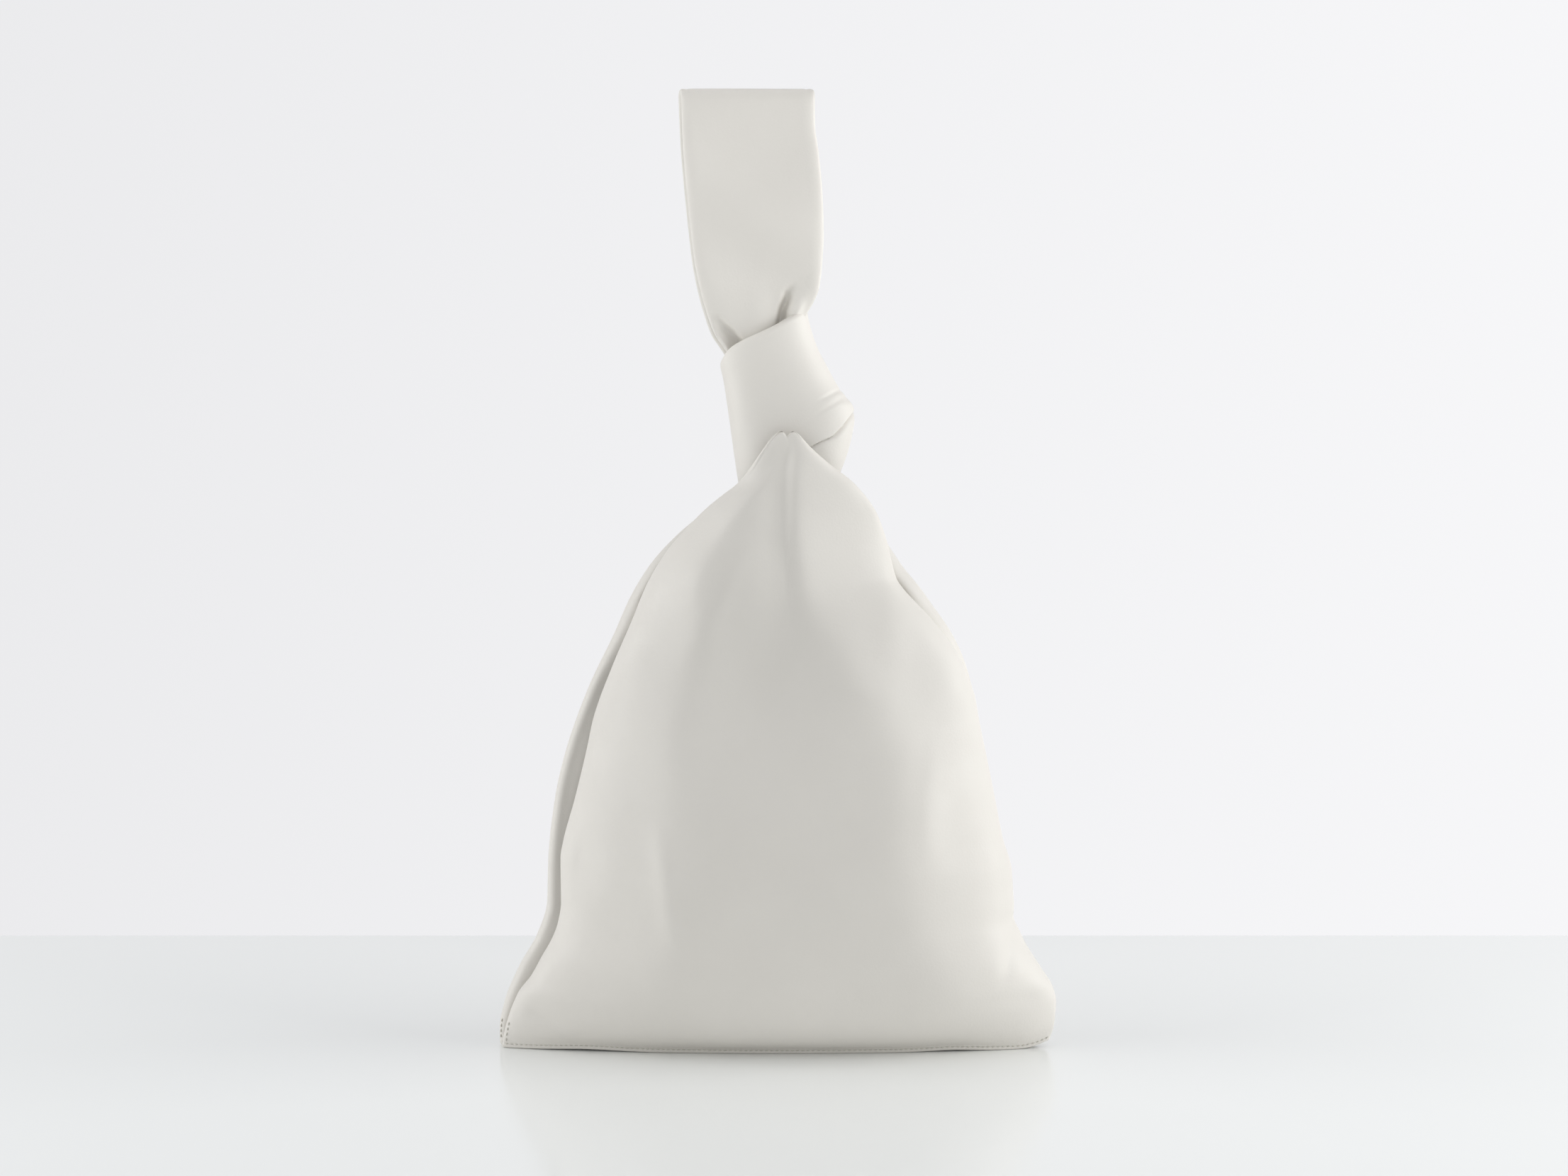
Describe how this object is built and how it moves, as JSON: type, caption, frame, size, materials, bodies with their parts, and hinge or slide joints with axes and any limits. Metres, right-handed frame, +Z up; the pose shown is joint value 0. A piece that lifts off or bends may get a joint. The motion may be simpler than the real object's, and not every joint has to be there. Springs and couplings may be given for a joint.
{
  "type": "knot bag",
  "caption": "Bell-shaped soft leather bag with folded side gussets, closed by a long handle loop drawn through a short handle wrapped into a knot; carried on the wrist or in the hand.",
  "frame": {"origin": "middle of the base on the surface that the bag stands on", "axes": "+Z up through the knot and the handle loop, +X to the right seen from the front, -Y towards the front"},
  "size_m": [0.258, 0.0974, 0.448],
  "materials": {
    "leather": "matte off-white smooth calf leather",
    "lining": "pale suede lining",
    "thread": "off-white sewing thread"
  },
  "bodies": {
    "bag_body": {"front_panel": "leather", "back_panel": "leather", "left_gusset": "leather", "right_gusset": "leather", "base_panel": "leather", "front_lining": "lining", "back_lining": "lining", "left_gusset_lining": "lining", "right_gusset_lining": "lining", "base_lining": "lining", "front_hem_thread": "thread", "back_hem_thread": "thread", "front_left_corner_thread": "thread", "front_right_corner_thread": "thread", "back_left_corner_thread": "thread", "back_right_corner_thread": "thread", "short_handle_root": "leather", "long_handle_root": "leather"},
    "front_lip": {"front_lip": "leather", "front_lip_lining": "lining"},
    "back_lip": {"back_lip": "leather", "back_lip_lining": "lining"},
    "knot": {"short_handle_band": "leather", "short_handle_lining": "lining", "short_handle_underlap": "leather"},
    "handle_neck": {"long_handle_neck": "leather"},
    "handle_loop": {"long_handle_outer": "leather", "long_handle_core": "lining", "long_handle_inner": "leather"}
  },
  "joints": [
    {"name": "front_lip_open", "type": "hinge", "parent": "bag_body", "child": "front_lip", "pos_m": [0, -0.031, 0.228], "axis": [1, 0, 0], "range_deg": [0, 35]},
    {"name": "back_lip_open", "type": "hinge", "parent": "bag_body", "child": "back_lip", "pos_m": [0, 0.031, 0.228], "axis": [-1, 0, 0], "range_deg": [0, 35]},
    {"name": "knot_sway", "type": "hinge", "parent": "bag_body", "child": "knot", "pos_m": [0.006, 0, 0.2587], "axis": [0, 1, 0], "range_deg": [-8, 8]},
    {"name": "handle_pull", "type": "slide", "parent": "knot", "child": "handle_neck", "axis": [0, 0, 1], "range_m": [0, 0.02]},
    {"name": "handle_swing", "type": "hinge", "parent": "handle_neck", "child": "handle_loop", "pos_m": [0, 0, 0.349], "axis": [1, 0, 0], "range_deg": [-70, 70]}
  ]
}
